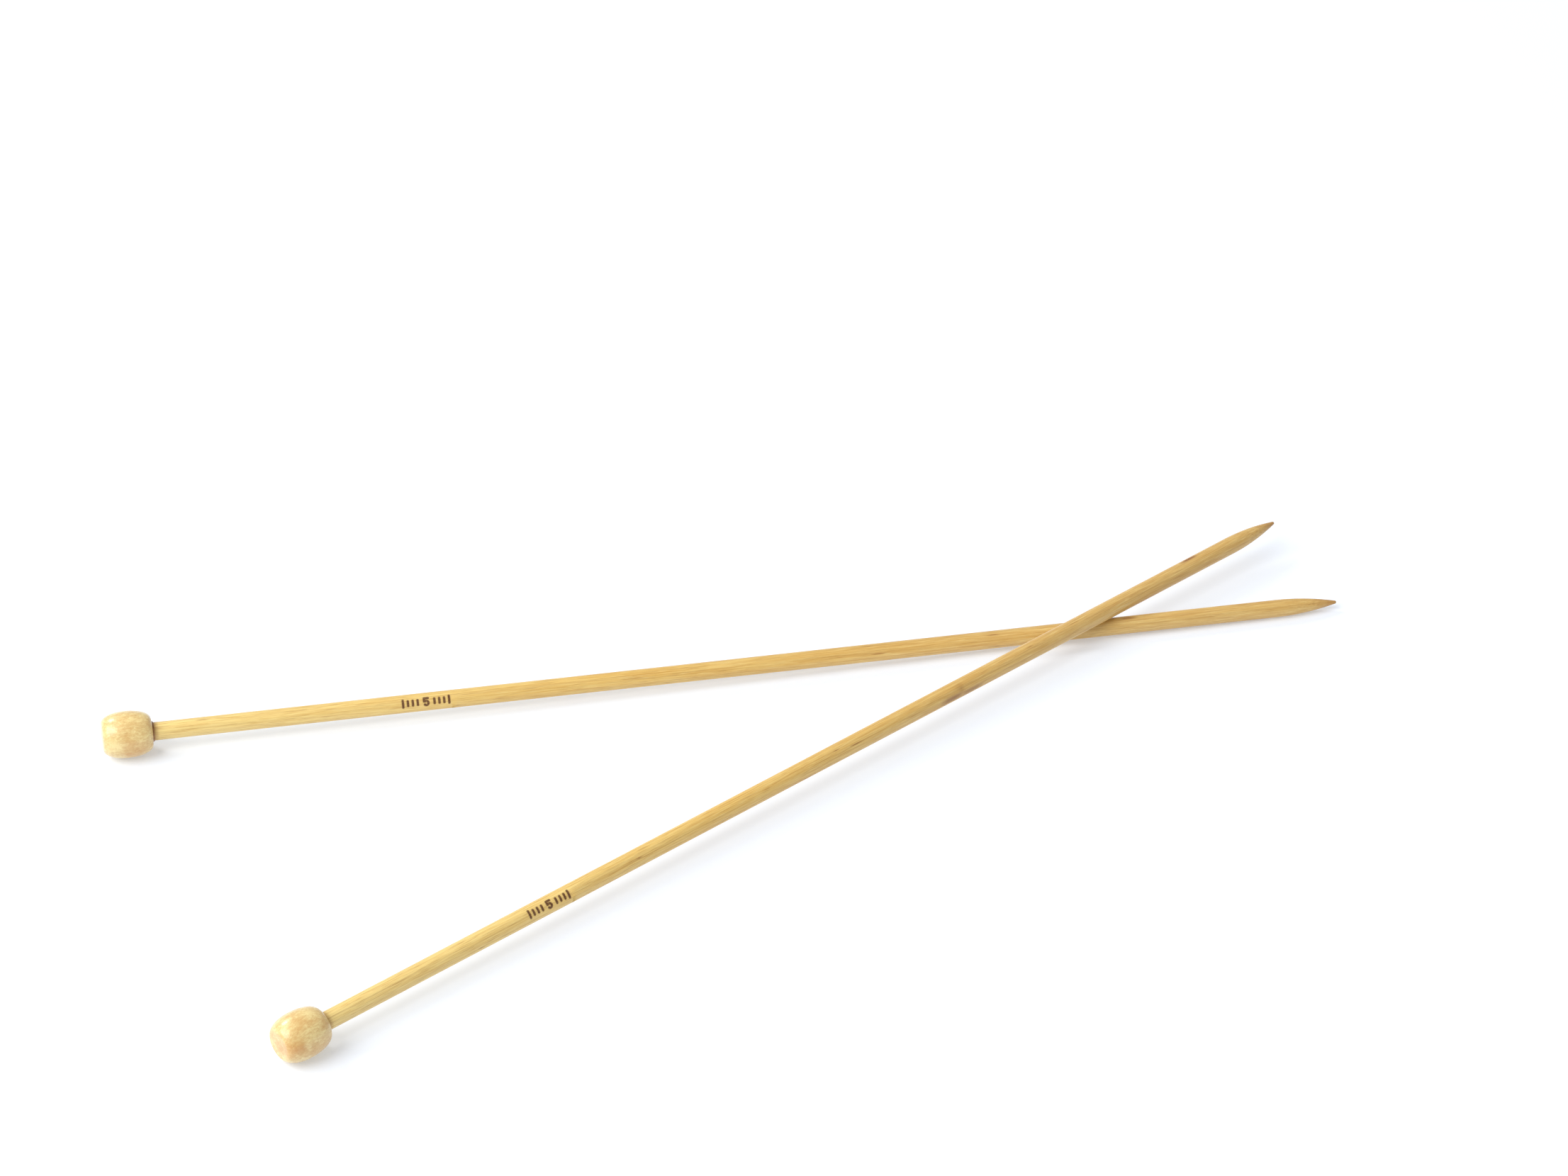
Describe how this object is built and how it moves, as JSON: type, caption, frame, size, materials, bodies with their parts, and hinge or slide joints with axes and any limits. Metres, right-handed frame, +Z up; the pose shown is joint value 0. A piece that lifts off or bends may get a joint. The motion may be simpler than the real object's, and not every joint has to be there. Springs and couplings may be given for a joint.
{
  "type": "straight knitting needles",
  "caption": "Crossed pair of straight bamboo knitting needles, each with a sanded point and a turned barrel knob.",
  "frame": {"origin": "middle of the pair's footprint, on the surface that it lies on", "axes": "+X along the lower needle from its knob to its point, +Y level and across it, +Z up"},
  "size_m": [0.35, 0.166, 0.0128],
  "materials": {
    "bamboo": "smooth satin, waxed bamboo with straight grain",
    "knob_wood": "satin, pale turned wood",
    "dried_glue": "semi-gloss dark brown dried glue"
  },
  "bodies": {
    "lower_needle": {"lower_shaft": "bamboo", "lower_knob": "knob_wood", "lower_glue": "dried_glue"},
    "upper_needle": {"upper_shaft": "bamboo", "upper_knob": "knob_wood", "upper_glue": "dried_glue"}
  },
  "joints": [
    {"name": "needle_swing", "type": "hinge", "parent": "lower_needle", "child": "upper_needle", "pos_m": [0.105, 0.05112, 0.0082], "axis": [0, 0, 1], "range_deg": [-17.5, 92.5]}
  ]
}
